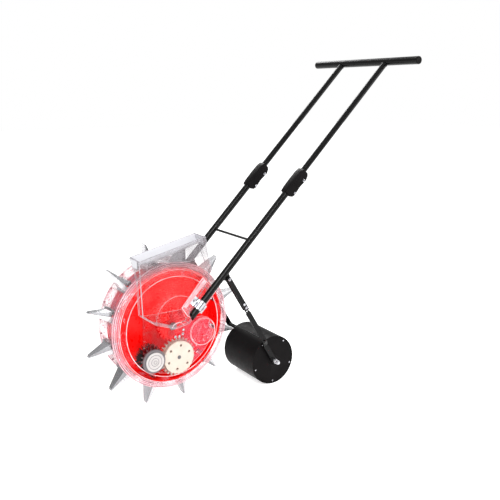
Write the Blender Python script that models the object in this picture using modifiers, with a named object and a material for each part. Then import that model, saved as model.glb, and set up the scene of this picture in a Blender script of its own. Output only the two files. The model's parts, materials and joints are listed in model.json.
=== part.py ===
"""Push seeder: a spiked seed drum with a side hopper, a firming roller and a long T handle.

Metres, +Z up. The machine is pushed towards -X, so its left side is -Y. Everything is laid out
from the drum's axle, which an empty holds above the ground and off centre, so that the
machine's box is centred on the origin and stands on z = 0.
"""

import math

import bmesh
import bpy
from mathutils import Matrix, Vector

# ---- driving dimensions -------------------------------------------------------------------
GAP = 0.0003  # between pieces that touch

# Drum and its twelve duckbill mouths
MOUTHS = 12
FIRST_MOUTH = math.radians(15)
TIP_R = 0.2544
TIP_HALF = 0.0012
FOOT_R = 0.1775
FOOT_T = 0.0025
WALL_R = 0.177
FLANGE_R = 0.190
OPENING_R = 0.151
LEFT_FACE_Y = -0.060
RIGHT_FACE_Y = 0.052
DISH_FLOOR_Y = 0.038
SHEET = 0.003
DRUM_STEPS = 48
AXLE_R = 0.008

# Handle: two parallel tubes that lean back
HANDLE_Y = 0.1024
HANDLE_START = Vector((0.1338, 0.0, 0.1345))
HANDLE_LEAN = math.radians(45.26)
LOWER_R, LOWER_BORE_R = 0.0104, 0.0095
UPPER_R, UPPER_BORE_R = 0.0092, 0.0080
GRIP_R, GRIP_BORE_R = 0.0125, 0.0110
GRIP_HALF = 0.2374
LOWER_SPAN = (-0.147, 0.400)
LOWER_END_AT = -0.138
LOWER_END_SLANT = math.radians(32.8)
UPPER_SPAN = (0.250, 0.8862)
GRIP_AT = 0.899
CROSS_BAR_AT = 0.149
CROSS_BAR_R = 0.0040
COUPLER_AT = 0.378
COUPLER_HALF_WIDTH = 0.0132
CLAMP_AT = -0.098
CLAMP_HALF = 0.014

# Firming roller and its arms
PIVOT = Vector((0.1615, 0.0, 0.132))
ARM_DIP = math.atan2(0.2988, 0.186)
ARM_LENGTH = 0.352
ROLLER_R = 0.079
ROLLER_HALF = 0.082
ROLLER_SHEET = 0.0035
ROLLER_AXLE_R = 0.005
CHANNEL_END = 0.125
CHANNEL_HALF = 0.0075
CHANNEL_DEPTH_HALF = 0.007
BAR_HALF = 0.0082
BAR_INNER_Y = 0.0905
SCRAPER_AT = 0.256
ARM_SCREW_AT = 0.101

# Metering gears, all of one module
MODULE = 0.004
HUB_TEETH, SEED_TEETH, BRUSH_TEETH = 22, 28, 15
SEED_DIRECTION = math.radians(-79.5)
BRUSH_DIRECTION = math.radians(176)
GEAR_Y = (-0.0505, -0.043)
PLATE_Y = (-0.054, -0.051)

# Hopper, outside the drum's left face
HOPPER_Y = -0.0883
HOPPER_BACK_Y = -0.0623
HOPPER_RIM_Y = -0.026
HOPPER_WALL = 0.0025
CLEAR_OF_DRUM_R = 0.197
BRACKET_Y = (-0.0916, -0.0886)

AXLE_HEIGHT = TIP_R * math.cos(FIRST_MOUTH) + TIP_HALF * math.sin(FIRST_MOUTH)
GRIP_X = HANDLE_START.x + GRIP_AT * math.cos(HANDLE_LEAN)
AXLE_X = (AXLE_HEIGHT - GRIP_X - GRIP_R) / 2

ALONG_HANDLE = Vector((math.cos(HANDLE_LEAN), 0, math.sin(HANDLE_LEAN)))
BEHIND_HANDLE = Vector((math.sin(HANDLE_LEAN), 0, -math.cos(HANDLE_LEAN)))
ALONG_ARM = Vector((math.cos(ARM_DIP), 0, -math.sin(ARM_DIP)))
BEHIND_ARM = Vector((math.sin(ARM_DIP), 0, math.cos(ARM_DIP)))
SIDES = {"left": -1, "right": 1}

# Colour, roughness, metallic and alpha of each finish
FINISHES = {
    "clear": ((0.93, 0.92, 0.95), 0.12, 0.0, 0.35),
    "pink_clear": ((0.95, 0.72, 0.76), 0.12, 0.0, 0.45),
    "red": ((0.72, 0.005, 0.008), 0.25, 0.0, 1.0),
    "black_paint": ((0.012, 0.012, 0.013), 0.35, 0.0, 1.0),
    "black_plastic": ((0.02, 0.02, 0.022), 0.5, 0.0, 1.0),
    "cream": ((0.82, 0.72, 0.62), 0.45, 0.0, 1.0),
    "brush": ((0.20, 0.19, 0.20), 0.6, 0.0, 1.0),
    "steel": ((0.62, 0.62, 0.63), 0.25, 1.0, 1.0),
    "dark_steel": ((0.30, 0.30, 0.31), 0.35, 1.0, 1.0),
    "chrome": ((0.80, 0.80, 0.82), 0.08, 1.0, 1.0),
}


# ---- scene helpers ------------------------------------------------------------------------
def cleared_scene():
    for obj in list(bpy.data.objects):
        bpy.data.objects.remove(obj)


def collection(name, shown=True):
    made = bpy.data.collections.new(name)
    made.hide_render = not shown
    bpy.context.scene.collection.children.link(made)
    return made


def painted(name, finish):
    colour, roughness, metallic, alpha = FINISHES[finish]
    made = bpy.data.materials.new(name)
    made.use_nodes = True
    shader = made.node_tree.nodes["Principled BSDF"]
    shader.inputs["Base Color"].default_value = (*colour, 1)
    shader.inputs["Roughness"].default_value = roughness
    shader.inputs["Metallic"].default_value = metallic
    shader.inputs["Alpha"].default_value = alpha
    return made


def empty(name, at, parent=None):
    made = bpy.data.objects.new(name, None)
    made.empty_display_size = 0.03
    PARTS.objects.link(made)
    made.parent = parent
    made.location = at
    return made


def new_object(name, mesh):
    made = bpy.data.objects.new(name, mesh)
    PARTS.objects.link(made)
    return made


def evaluated_mesh(obj):
    graph = bpy.context.evaluated_depsgraph_get()
    mesh = bpy.data.meshes.new_from_object(obj.evaluated_get(graph))
    shape = bmesh.new()
    shape.from_mesh(mesh)
    bmesh.ops.remove_doubles(shape, verts=shape.verts, dist=1e-6)
    shape.to_mesh(mesh)
    shape.free()
    return mesh


def baked(obj, matrix=None):
    """The object with its modifiers, curve and placing turned into one plain mesh."""
    bpy.context.view_layer.update()
    mesh = evaluated_mesh(obj)
    mesh.transform(matrix if matrix else obj.matrix_world)
    name = obj.name
    bpy.data.objects.remove(obj)
    return new_object(name, mesh)


def boolean(target, other, operation):
    other.hide_render = True
    other.display_type = "WIRE"
    for home in list(other.users_collection):
        home.objects.unlink(other)
    CUTTERS.objects.link(other)
    change = target.modifiers.new(operation.lower(), "BOOLEAN")
    change.operation = operation
    change.object = other
    change.solver = "EXACT"
    return target


def cut(target, *others):
    for other in others:
        boolean(target, other, "DIFFERENCE")
    return target


def join(target, *others):
    for other in others:
        boolean(target, other, "UNION")
    return target


def smooth(mesh, angle=35):
    mesh.shade_smooth()
    mesh.set_sharp_from_angle(angle=math.radians(angle))


def settle(obj, finish, axis):
    """Bakes a piece laid out from the axle, and hangs it on its joint's empty."""
    done = baked(obj)
    smooth(done.data)
    origin = axis.matrix_world.translation - AXLE.matrix_world.translation
    done.data.transform(Matrix.Translation(-origin))
    done.parent = axis
    done.data.materials.clear()
    done.data.materials.append(painted(done.name, finish))
    return done


# ---- shape helpers ------------------------------------------------------------------------
def turned(name, profile, steps, direction=(0, 1, 0), at=(0, 0, 0)):
    """A closed profile of (radius, height) turned round the direction, from the point at."""
    area = sum(
        r0 * h1 - r1 * h0 for (r0, h0), (r1, h1) in zip(profile, profile[1:] + profile[:1])
    )
    ring = profile[::-1] if area > 0 else profile
    mesh = bpy.data.meshes.new(name)
    count = len(ring)
    edges = [(i, (i + 1) % count) for i in range(count)]
    mesh.from_pydata([(r, 0, h) for r, h in ring], edges, [])
    made = new_object(name, mesh)
    screw = made.modifiers.new("turn", "SCREW")
    screw.steps = screw.render_steps = steps
    screw.use_merge_vertices = True
    screw.merge_threshold = 1e-6
    turn = Vector(direction).to_track_quat("Z", "X").to_matrix().to_4x4()
    return baked(made, Matrix.Translation(at) @ turn)


def hollow(name, start, end, outer, bore, steps=24):
    span = (Vector(end) - Vector(start)).length
    profile = [(bore, 0), (outer, 0), (outer, span), (bore, span)]
    return turned(name, profile, steps, Vector(end) - Vector(start), start)


def rod(name, start, end, radius, sides=16):
    start, end = Vector(start), Vector(end)
    shape = bmesh.new()
    bmesh.ops.create_cone(
        shape,
        cap_ends=True,
        segments=sides,
        radius1=radius,
        radius2=radius,
        depth=(end - start).length,
    )
    turn = (end - start).to_track_quat("Z", "X").to_matrix().to_4x4()
    bmesh.ops.transform(
        shape, matrix=Matrix.Translation((start + end) / 2) @ turn, verts=shape.verts
    )
    mesh = bpy.data.meshes.new(name)
    shape.to_mesh(mesh)
    shape.free()
    return new_object(name, mesh)


def tapered_box(name, low, high, base, tip):
    """A box along +X from low to high; base and tip are its (y low, y high, z half)."""
    shape = bmesh.new()
    bmesh.ops.create_cube(shape, size=1)
    for vert in shape.verts:
        near = vert.co.x < 0
        y_low, y_high, z_half = base if near else tip
        y = y_low if vert.co.y < 0 else y_high
        vert.co = (low if near else high, y, math.copysign(z_half, vert.co.z))
    mesh = bpy.data.meshes.new(name)
    shape.to_mesh(mesh)
    shape.free()
    return new_object(name, mesh)


def block(name, low, high):
    shape = bmesh.new()
    bmesh.ops.create_cube(shape, size=1)
    low, high = Vector(low), Vector(high)
    for vert in shape.verts:
        vert.co = [l if c < 0 else h for c, l, h in zip(vert.co, low, high)]
    mesh = bpy.data.meshes.new(name)
    shape.to_mesh(mesh)
    shape.free()
    return new_object(name, mesh)


def arc(centre, radius, start, end, count):
    """Points on an arc, from start to end degrees, both included."""
    angles = [math.radians(start + (end - start) * i / count) for i in range(count + 1)]
    return [(centre[0] + radius * math.cos(a), centre[1] + radius * math.sin(a)) for a in angles]


def circle(centre, radius, count=24):
    return arc(centre, radius, 0, 360, count)[:-1]


def extruded(name, outlines, low, high, matrix=None):
    """Flat outlines (the first outside, the rest holes) given depth from low to high.

    Without a matrix the outline is (x, z) and the depth is y.
    """
    curve = bpy.data.curves.new(name, "CURVE")
    curve.dimensions = "2D"
    curve.fill_mode = "BOTH"
    curve.extrude = (high - low) / 2
    for outline in outlines:
        spline = curve.splines.new("POLY")
        spline.points.add(len(outline) - 1)
        spline.use_cyclic_u = True
        for point, (u, v) in zip(spline.points, outline):
            point.co = (u, v, 0, 1)
    made = new_object(name, curve)
    if matrix:
        return baked(made, matrix @ Matrix.Translation((0, 0, (low + high) / 2)))
    upright = Matrix.Rotation(math.pi / 2, 4, "X")
    return baked(made, Matrix.Translation((0, (low + high) / 2, 0)) @ upright)


def gear_outline(teeth, centre, tooth_at):
    """Straight-sided teeth, one of them centred on the direction tooth_at."""
    pitch_r = teeth * MODULE / 2
    step = 2 * math.pi / teeth
    levels = ((-0.27, -1.15), (-0.12, 0.8), (0.12, 0.8), (0.27, -1.15))
    points = []
    for tooth in range(teeth):
        for offset, rise in levels:
            angle = tooth_at + (tooth + offset) * step
            r = pitch_r + rise * MODULE
            points.append((centre[0] + r * math.cos(angle), centre[1] + r * math.sin(angle)))
    return points


def on_handle(along, behind=0.0, y=0.0):
    return HANDLE_START + along * ALONG_HANDLE + behind * BEHIND_HANDLE + Vector((0, y, 0))


def on_arm(along, behind=0.0, y=0.0):
    return PIVOT + along * ALONG_ARM + behind * BEHIND_ARM + Vector((0, y, 0))


def basis(first, second, third, at):
    """The matrix that takes x, y, z to the three directions and the origin to at."""
    made = Matrix((first, second, third)).transposed().to_4x4()
    made.translation = at
    return made


# ---- handle -------------------------------------------------------------------------------
def lower_tube(side):
    y = SIDES[side] * HANDLE_Y
    start, end = on_handle(LOWER_SPAN[0], y=y), on_handle(LOWER_SPAN[1], y=y)
    tube = hollow(f"{side}_lower_tube", start, end, LOWER_R, LOWER_BORE_R)
    eye = (PIVOT - HANDLE_START).dot(ALONG_HANDLE), (PIVOT - HANDLE_START).dot(BEHIND_HANDLE)
    root = LOWER_R - 0.0008
    plate = [(eye[0] - 0.014, root), (eye[0] + 0.014, root)]
    plate += arc(eye, CHANNEL_HALF, 20, 160, 8)
    frame = basis(ALONG_HANDLE, BEHIND_HANDLE, (0, -1, 0), on_handle(0, y=y))
    lug = extruded("lug", [plate, circle(eye, 0.0041, 16)], -0.0025, 0.0025, frame)
    beyond = block("beyond", (-0.04, -0.02, -0.03), (0, 0.02, 0.03))
    square = basis(ALONG_HANDLE, (0, 1, 0), -BEHIND_HANDLE, on_handle(LOWER_END_AT, y=y))
    beyond.data.transform(square @ Matrix.Rotation(LOWER_END_SLANT, 4, "Y"))
    return settle(cut(join(tube, lug), beyond), "black_paint", AXLE)


def cross_bar():
    reach = HANDLE_Y - LOWER_R - GAP
    ends = [on_handle(CROSS_BAR_AT, y=side * reach) for side in SIDES.values()]
    bar = rod("cross_bar", *ends, CROSS_BAR_R)
    return settle(bar, "black_paint", AXLE)


def coupler(side):
    y = SIDES[side] * HANDLE_Y
    under = [(0.049, 0.0105), (0.043, 0.017), (0.030, 0.0215), (0.017, 0.0205), (0.0, 0.0185)]
    under += [(-0.020, 0.0205), (-0.032, 0.0215), (-0.040, 0.018), (-0.045, 0.0115)]
    over = [(-0.045, -0.0115), (-0.030, -0.0138), (0, -0.0145), (0.033, -0.0138), (0.049, -0.0105)]
    frame = basis(ALONG_HANDLE, BEHIND_HANDLE, (0, -1, 0), on_handle(COUPLER_AT, y=y))
    half = COUPLER_HALF_WIDTH
    body = extruded(f"{side}_coupler", [under + over], -half, half, frame)
    bevel = body.modifiers.new("rounded", "BEVEL")
    bevel.width = 0.003
    bevel.segments = 2
    bevel.limit_method = "ANGLE"
    step = LOWER_SPAN[1] + GAP
    wide = rod("wide", on_handle(0.30, y=y), on_handle(step, y=y), LOWER_R + GAP, 24)
    narrow = rod("narrow", on_handle(0.35, y=y), on_handle(0.46, y=y), UPPER_R + GAP, 24)
    bolt = rod("bolt", coupler_screw_at(y - 0.03), coupler_screw_at(y + 0.03), 0.0034)
    return settle(cut(body, wide, narrow, bolt), "black_plastic", AXLE)


def coupler_screw_at(y):
    return on_handle(COUPLER_AT - 0.027, 0.0158, y)


def through_bolt(name, at, half_length, axis):
    """A bolt across the machine, with its hexagonal head at one end and its nut at the other."""
    radius = 0.003
    ends = [at + Vector((0, end, 0)) for end in (-half_length, half_length)]
    thick, proud = Vector((0, 0.003, 0)), Vector((0, 0.004, 0))
    shank = rod(name, ends[0] - proud, ends[1] + proud, radius, 12)
    heads = [rod("head", ends[0] - thick, ends[0], radius * 1.5, 6)]
    heads += [rod("nut", ends[1], ends[1] + thick, radius * 1.5, 6)]
    return settle(join(shank, *heads), "chrome", axis)


def upper_tube(side, axis):
    y = SIDES[side] * HANDLE_Y
    ends = [on_handle(along, y=y) for along in UPPER_SPAN]
    tube = hollow(f"{side}_upper_tube", *ends, UPPER_R, UPPER_BORE_R)
    return settle(tube, "black_paint", axis)


def grip_bar(axis):
    ends = [on_handle(GRIP_AT, y=end) for end in (-GRIP_HALF, GRIP_HALF)]
    return settle(hollow("grip_bar", *ends, GRIP_R, GRIP_BORE_R, 32), "black_paint", axis)


# ---- brackets that hold the drum on the handle --------------------------------------------
def pad_outline():
    """The moulded pad under a tube's lower end, as (x, z) from the axle."""
    corners = [(-0.137, -0.036), (-0.031, -0.043), (-0.031, 0.020), (-0.100, 0.024)]
    corners += [(-0.139, 0.014), (-0.143, -0.006)]
    points = [on_handle(along, behind) for along, behind in corners]
    return [(point.x, point.z) for point in points]


def left_bracket():
    pad = extruded("left_bracket", [pad_outline()], *BRACKET_Y)
    ribs = []
    for behind in (-0.0365, -0.0305):
        low, high = on_handle(-0.130, behind), on_handle(-0.034, behind)
        frame = basis(ALONG_HANDLE, BEHIND_HANDLE, (0, -1, 0), low)
        rib = block("rib", (0, -0.001, 0.0895), ((high - low).length, 0.001, 0.097))
        rib.data.transform(frame)
        ribs.append(rib)
    return settle(join(pad, *ribs), "clear", AXLE)


def right_bracket():
    """The far side plate: it carries both the tube's clamp and the axle's end."""
    pad = pad_outline()
    outline = arc((0, 0), 0.026, 140, 325, 14) + [pad[3], pad[2], pad[1], pad[0]]
    hole = circle((0, 0), AXLE_R + GAP)
    plate = extruded("right_bracket", [outline, hole], -BRACKET_Y[1], -BRACKET_Y[0])
    return settle(plate, "clear", AXLE)


def tube_clamp(side):
    """An omega strap over the tube, with a flat ear on each side against the bracket."""
    inner, outer = LOWER_R + GAP, LOWER_R + 0.002
    ear_foot = GAP - BRACKET_Y[0] - HANDLE_Y
    ear_top, reach = ear_foot + 0.002, 0.0275
    strap = arc((0, 0), outer, 0, 180, 16)
    strap += [(-outer, ear_top), (-reach, ear_top), (-reach, ear_foot), (-inner, ear_foot)]
    strap += arc((0, 0), inner, 180, 0, 16)
    strap += [(inner, ear_foot), (reach, ear_foot), (reach, ear_top), (outer, ear_top)]
    outward = Vector((0, SIDES[side], 0))
    across = outward.cross(ALONG_HANDLE)
    frame = basis(across, outward, ALONG_HANDLE, on_handle(CLAMP_AT, y=SIDES[side] * HANDLE_Y))
    clamp = extruded(f"{side}_tube_clamp", [strap], -CLAMP_HALF, CLAMP_HALF, frame)
    return settle(clamp, "chrome", AXLE)


# ---- hopper -------------------------------------------------------------------------------
def hopper_stations():
    """(rim, clear, foot) points of the hopper's ribs, front to back, as (x, z)."""
    rim_front, rim_back = Vector((-0.122, 0.215)), Vector((0.091, 0.264))
    feet = [(-0.113, 0.054), (-0.072, 0.025), (-0.008, 0.003)]
    feet += [(0.038, 0.012), (0.066, 0.052), (0.121, 0.131)]
    stations = []
    for index, foot in enumerate(feet):
        rim = rim_front.lerp(rim_back, index / (len(feet) - 1))
        foot = Vector(foot)
        low, high = 0.0, 1.0
        for _ in range(30):
            middle = (low + high) / 2
            if foot.lerp(rim, middle).length < CLEAR_OF_DRUM_R:
                low = middle
            else:
                high = middle
        stations.append((rim, foot.lerp(rim, high), foot))
    return stations


def hopper():
    """Below the drum's rim the hopper stays outside its face; above, its back wall flares in."""
    shape = bmesh.new()
    rings = []
    for rim, clear, foot in hopper_stations():
        corners = ((rim, HOPPER_Y), (foot, HOPPER_Y), (foot, HOPPER_BACK_Y))
        corners += ((clear, HOPPER_BACK_Y), (rim, HOPPER_RIM_Y))
        rings.append([shape.verts.new((point.x, y, point.y)) for point, y in corners])
    for first, second in zip(rings, rings[1:]):
        for low in range(len(first) - 1):
            shape.faces.new((first[low], first[low + 1], second[low + 1], second[low]))
    shape.faces.new(rings[0])
    shape.faces.new(rings[-1][::-1])
    bmesh.ops.recalc_face_normals(shape, faces=shape.faces)
    mesh = bpy.data.meshes.new("hopper")
    shape.to_mesh(mesh)
    shape.free()
    shell = new_object("hopper", mesh)
    wall = shell.modifiers.new("wall", "SOLIDIFY")
    wall.thickness = HOPPER_WALL
    wall.offset = -1
    wall.use_even_offset = True
    shell = baked(shell)
    spout = block("spout", (-0.043, HOPPER_BACK_Y - 0.001, 0.017), (-0.007, PLATE_Y[0] - 0.0023, 0.043))
    port = block("port", (-0.040, -0.070, 0.020), (-0.010, -0.050, 0.040))
    return settle(cut(join(shell, spout), port), "clear", AXLE)


# ---- drum ---------------------------------------------------------------------------------
def ports(name):
    """Twelve slots through the drum's walls, one behind each mouth."""
    shape = bmesh.new()
    for turn in mouth_angles():
        made = bmesh.ops.create_cube(shape, size=1)["verts"]
        grow = Matrix.Diagonal((0.030, 0.036, 0.014, 1))
        place = Matrix.Rotation(-turn, 4, "Y") @ Matrix.Translation((0.175, 0, 0)) @ grow
        bmesh.ops.transform(shape, matrix=place, verts=made)
    mesh = bpy.data.meshes.new(name)
    shape.to_mesh(mesh)
    shape.free()
    return new_object(name, mesh)


def mouth_angles():
    return [FIRST_MOUTH + 2 * math.pi * i / MOUTHS for i in range(MOUTHS)]


def drum_shell_left(axis):
    face, wall = LEFT_FACE_Y, WALL_R
    steps = [(wall, -GAP / 2), (wall, -0.040), (FLANGE_R, -0.040), (FLANGE_R, -0.048)]
    steps += [(0.184, -0.050), (0.170, -0.055), (0.160, face), (OPENING_R, face)]
    steps += [(OPENING_R, face + SHEET), (0.159, face + SHEET), (0.168, -0.052)]
    steps += [(wall - SHEET, -0.046), (wall - SHEET, -GAP / 2)]
    shell = turned("drum_shell_left", steps, DRUM_STEPS)
    return settle(cut(shell, ports("ports_left")), "clear", axis)


def drum_shell_right(axis):
    face, wall = RIGHT_FACE_Y, WALL_R
    steps = [(wall, GAP / 2), (wall, 0.044), (FLANGE_R - 0.0015, 0.044), (FLANGE_R - 0.0015, face)]
    steps += [(0.150, face), (0.140, face - 0.004), (0.0205, face - 0.004), (0.0205, face - 0.007)]
    steps += [(0.141, face - 0.007), (0.151, face - SHEET), (wall - SHEET, face - SHEET)]
    steps += [(wall - SHEET, GAP / 2)]
    shell = turned("drum_shell_right", steps, DRUM_STEPS)
    return settle(cut(shell, ports("ports_right")), "clear", axis)


def drum_dish(axis):
    """The red seed dish that lines the clear shells, open towards the left."""
    outer, floor = WALL_R - SHEET - GAP, DISH_FLOOR_Y
    steps = [(outer, -0.043), (outer, 0.026), (0.160, floor + SHEET), (0.0205, floor + SHEET)]
    steps += [(0.0205, floor), (0.159, floor), (outer - SHEET, 0.025), (outer - SHEET, -0.043)]
    dish = turned("drum_dish", steps, DRUM_STEPS)
    return settle(cut(dish, ports("ports_dish")), "red", axis)


def hub_bearing(axis):
    steps = [(AXLE_R + 0.0004, 0.036), (0.020, 0.036), (0.020, 0.052), (0.026, 0.0523)]
    steps += [(0.026, 0.058), (AXLE_R + 0.0004, 0.058)]
    return settle(turned("hub_bearing", steps, 20), "dark_steel", axis)


def hub_gear(axis):
    """The drive gear, on a sleeve that is fixed to the dish's floor."""
    bore, front, floor = 0.0085, GEAR_Y[1] - 0.001, DISH_FLOOR_Y - GAP
    outlines = [gear_outline(HUB_TEETH, (0, 0), SEED_DIRECTION), circle((0, 0), bore)]
    teeth = extruded("hub_gear", outlines, *GEAR_Y)
    sleeve = [(bore, front), (0.015, front), (0.015, 0.030), (0.030, 0.034)]
    sleeve += [(0.030, floor), (0.0206, floor), (0.0206, 0.0355), (bore, 0.0355)]
    return settle(join(teeth, turned("sleeve", sleeve, 24)), "red", axis)


def axle():
    nut_r = 0.0125
    shaft = rod("axle", (0, PLATE_Y[0] - 0.005, 0), (0, 0.100, 0), AXLE_R, 20)
    left = rod("left_nut", (0, PLATE_Y[0] - 0.0035, 0), (0, PLATE_Y[0] - GAP, 0), nut_r, 6)
    right = rod("right_nut", (0, 0.092, 0), (0, 0.098, 0), nut_r, 6)
    return settle(join(shaft, left, right), "steel", AXLE)


# ---- mouths -------------------------------------------------------------------------------
# A mouth is made pointing along +X from the axle, with z across it and y its width, then
# turned about the axle. Its fixed jaw trails (+z) and its flap leads (-z).
JAW_FOOT, JAW_TIP = 0.180, TIP_R
FLAP_FOOT, FLAP_TIP = 0.184, 0.2500
FLAP_PIN = (0.1865, -0.014)


def wedge(name, low, high, foot, tip, span):
    """A wedge whose (z low, z high, y half) run straight from foot to tip over the span."""

    def at(x):
        share = (x - span[0]) / (span[1] - span[0])
        z_low, z_high, half = (a + (b - a) * share for a, b in zip(foot, tip))
        return z_low, z_high, half

    made = tapered_box(name, low, high, at(low), at(high))
    made.data.transform(Matrix.Rotation(math.pi / 2, 4, "X"))
    return made


def jaw_mesh():
    span, sheet = (JAW_FOOT, JAW_TIP), 0.0016
    foot, tip = (0.0, 0.016, 0.0225), (-TIP_HALF, TIP_HALF, 0.009)
    jaw = wedge("jaw", JAW_FOOT - 0.0015, JAW_TIP, foot, tip, span)
    plate = block("foot", (FOOT_R, -0.027, -0.019), (FOOT_R + FOOT_T, 0.027, 0.019))
    ears = [
        block("ear", (FOOT_R + 0.001, y, -0.019), (0.191, y + 0.002, -0.009)) for y in (-0.0265, 0.0245)
    ]
    inner_foot = (-0.006, foot[1] - sheet, foot[2] - sheet)
    inner_tip = (-0.006, tip[1] - sheet, tip[2] - sheet)
    hollowed = wedge("hollow", FOOT_R - 0.003, JAW_TIP - 0.006, inner_foot, inner_tip, span)
    x, z = FLAP_PIN
    hole = rod("hole", (x, -0.03, z), (x, 0.03, z), 0.0023, 8)
    return baked(cut(join(jaw, plate, *ears), hollowed, hole)).data


def flap_mesh():
    span, sheet = (FLAP_FOOT, FLAP_TIP), 0.0014
    foot, tip = (-0.016, -0.0008, 0.022), (-0.0036, -0.0021, 0.0095)
    flap = wedge("flap", FLAP_FOOT, FLAP_TIP, foot, tip, span)
    inner_foot = (foot[0] + sheet, 0.002, foot[2] - sheet)
    inner_tip = (tip[0] + sheet, 0.002, tip[2] - sheet)
    hollowed = wedge("hollow", FLAP_FOOT - 0.003, FLAP_TIP - 0.005, inner_foot, inner_tip, span)
    x, z = FLAP_PIN
    pin = rod("pin", (x, -0.028, z), (x, 0.028, z), 0.0019, 8)
    mesh = baked(join(cut(flap, hollowed), pin)).data
    mesh.transform(Matrix.Translation((-x, 0, -z)))
    return mesh


def mouths(axis):
    meshes = {"mouth": (jaw_mesh(), (0, 0, 0), "steel")}
    meshes["flap"] = (flap_mesh(), (FLAP_PIN[0], 0, FLAP_PIN[1]), "dark_steel")
    for kind, (mesh, at, finish) in meshes.items():
        for template in [obj for obj in PARTS.objects if obj.data == mesh]:
            bpy.data.objects.remove(template)
        smooth(mesh)
        mesh.materials.append(painted(kind, finish))
        for index, angle in enumerate(mouth_angles()):
            made = new_object(f"{kind}_{index + 1:02d}", mesh)
            made.parent = axis
            made.rotation_euler.y = -angle
            made.location = Matrix.Rotation(-angle, 3, "Y") @ Vector(at)


# ---- metering -----------------------------------------------------------------------------
def flat_direction(angle, radius):
    return Vector((radius * math.cos(angle), 0, radius * math.sin(angle)))


SEED_AT = flat_direction(SEED_DIRECTION, (HUB_TEETH + SEED_TEETH) * MODULE / 2)
BRUSH_AT = SEED_AT + flat_direction(BRUSH_DIRECTION, (SEED_TEETH + BRUSH_TEETH) * MODULE / 2)
COVER_AT = Vector((0.100, 0, -0.033))
SEED_BOSS_R, BRUSH_BOSS_R = 0.012, 0.008
SEED_DISC_R = 0.0495


def meshing(teeth, towards):
    """The direction of a tooth on a gear that has a gap centred on the direction towards."""
    return towards + math.pi / teeth


def metering_plate():
    outline = [(-0.097, 0.046), (-0.097, -0.105)] + arc((0, 0), 0.143, 227.5, 345, 24)
    outline += [(0.122, 0.006), (0.101, 0.014), (0.046, 0.014), (0.030, 0.046)]
    seed, brush = (SEED_AT.x, SEED_AT.z), (BRUSH_AT.x, BRUSH_AT.z)
    holes = [circle((0, 0), AXLE_R + GAP), circle(seed, SEED_BOSS_R + 0.0005)]
    holes += [circle(brush, BRUSH_BOSS_R + 0.0005, 16)]
    holes += [[(-0.040, 0.020), (-0.010, 0.020), (-0.010, 0.040), (-0.040, 0.040)]]
    return settle(extruded("metering_plate", [outline, *holes], *PLATE_Y), "pink_clear", AXLE)


def discharge_cover():
    """The clear cup over the outlet duct, open towards the plate, with a rib across it."""
    back, front, radius, sheet = PLATE_Y[0] - GAP, -0.061, 0.043, 0.0025
    cup = [(radius, back), (radius, front + 0.002), (radius - 0.002, front), (0.012, front)]
    cup += [(0.012, front + sheet), (radius - sheet - 0.001, front + sheet), (radius - sheet, back)]
    shell = turned("discharge_cover", cup, 28, at=COVER_AT)
    rib = block("rib", (-0.001, front + 0.001, -0.0415), (0.001, back, 0.0415))
    place = Matrix.Translation((COVER_AT.x - 0.0145, 0, COVER_AT.z))
    rib.data.transform(place @ Matrix.Rotation(0.2, 4, "Y"))
    return settle(join(shell, rib), "clear", AXLE)


def boss_through_plate(centre, front, radius):
    ends = [centre + Vector((0, y, 0)) for y in (GEAR_Y[0] + 0.001, front)]
    return rod("boss", *ends, radius, 24)


def seed_roller(axis):
    """The seed disc in front of the plate and its gear behind, on one boss through the plate."""
    centre = (SEED_AT.x, SEED_AT.z)
    gap_at = meshing(SEED_TEETH, SEED_DIRECTION + math.pi)
    gear = extruded("seed_roller", [gear_outline(SEED_TEETH, centre, gap_at)], *GEAR_Y)
    boss = boss_through_plate(SEED_AT, -0.056, SEED_BOSS_R)
    cells = [
        circle((centre[0] + 0.036 * math.cos(a), centre[1] + 0.036 * math.sin(a)), 0.0042, 8)
        for a in (math.radians(20 + 60 * i) for i in range(6))
    ]
    disc = extruded("disc", [circle(centre, SEED_DISC_R, 40), *cells], -0.0605, PLATE_Y[0] - 0.0005)
    return settle(join(gear, boss, disc), "cream", axis)


def brush_wheel(axis):
    """Gear, boss, and the brush's holder, which turns in front of the seed disc."""
    centre = (BRUSH_AT.x, BRUSH_AT.z)
    seed_tooth = meshing(SEED_TEETH, SEED_DIRECTION + math.pi)
    step = 2 * math.pi / SEED_TEETH
    offset = ((BRUSH_DIRECTION - seed_tooth) / step) % 1
    tooth_at = BRUSH_DIRECTION + math.pi + (offset - 0.5) * 2 * math.pi / BRUSH_TEETH
    gear = extruded("brush_wheel", [gear_outline(BRUSH_TEETH, centre, tooth_at)], *GEAR_Y)
    holder = [(0.0, -0.0615), (0.035, -0.0615), (0.036, -0.0625), (0.036, -0.067), (0.0345, -0.069)]
    holder += [(0.027, -0.069), (0.0255, -0.0665), (0.0245, -0.0665), (0.024, -0.071), (0.0, -0.0725)]
    body = turned("holder", holder, 32, at=BRUSH_AT)
    boss = boss_through_plate(BRUSH_AT, -0.0625, BRUSH_BOSS_R)
    return settle(join(gear, boss, body), "brush", axis)


# ---- firming roller and arms --------------------------------------------------------------
def arm_frame(side):
    return basis(ALONG_ARM, BEHIND_ARM, (0, -1, 0), on_arm(0, y=SIDES[side] * HANDLE_Y))


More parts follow.
